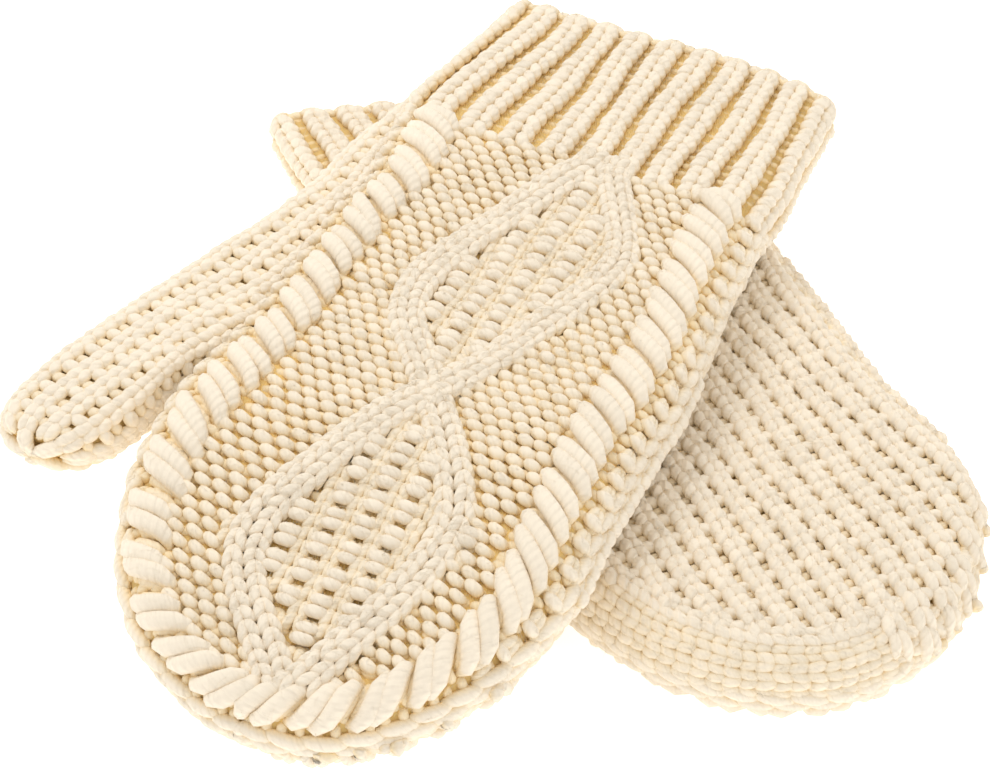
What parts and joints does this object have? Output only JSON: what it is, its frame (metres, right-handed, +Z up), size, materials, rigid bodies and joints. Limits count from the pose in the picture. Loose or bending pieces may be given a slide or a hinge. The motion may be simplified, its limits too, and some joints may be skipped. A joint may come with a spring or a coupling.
{
  "type": "pair of cable-knit mittens",
  "caption": "Pair of thick cable-knit wool mittens with ribbed cuffs, one lying back up across the other palm up.",
  "frame": {"origin": "point on the resting plane under the crossing of the two mittens, on the lower mitten's flat underside", "axes": "+Z up from the resting plane, +Y from the fingertips towards the cuffs, between the two mittens' lengths, +X towards the lower mitten's little finger side"},
  "size_m": [0.2513, 0.287, 0.0485],
  "materials": {
    "cream_wool": "soft undyed plied wool, hand knitted"
  },
  "bodies": {
    "right_hand": {"right_back_panel": "cream_wool", "right_palm_panel": "cream_wool", "right_edge_band": "cream_wool", "right_thumb_gusset": "cream_wool"},
    "right_thumb": {"right_thumb_tube": "cream_wool"},
    "right_cuff": {"right_cuff_rib": "cream_wool", "right_cast_on_edge": "cream_wool"},
    "left_hand": {"left_back_panel": "cream_wool", "left_palm_panel": "cream_wool", "left_edge_band": "cream_wool", "left_thumb_gusset": "cream_wool"},
    "left_thumb": {"left_thumb_tube": "cream_wool"},
    "left_cuff": {"left_cuff_rib": "cream_wool", "left_cast_on_edge": "cream_wool"}
  },
  "joints": [
    {"name": "left_lift", "type": "slide", "parent": "right_hand", "child": "left_hand", "axis": [0, 0, 1], "range_m": [0, 0.15]},
    {"name": "left_thumb_swing", "type": "hinge", "parent": "left_hand", "child": "left_thumb", "pos_m": [-0.08459, -0.0165, 0.0325], "axis": [0, 0, -1], "range_deg": [-12, 18]},
    {"name": "left_cuff_fold", "type": "hinge", "parent": "left_hand", "child": "left_cuff", "pos_m": [0.02576, 0.04113, 0.0365], "axis": [0.9056, -0.4242, 0], "range_deg": [0, 45]},
    {"name": "right_thumb_swing", "type": "hinge", "parent": "right_hand", "child": "right_thumb", "pos_m": [-0.0184, -0.06042, 0.008], "axis": [0, 0, -1], "range_deg": [-12, 18]},
    {"name": "right_cuff_swing", "type": "hinge", "parent": "right_hand", "child": "right_cuff", "pos_m": [0.00711, 0.06143, 0.012], "axis": [0, 0, 1], "range_deg": [-8, 8]}
  ]
}
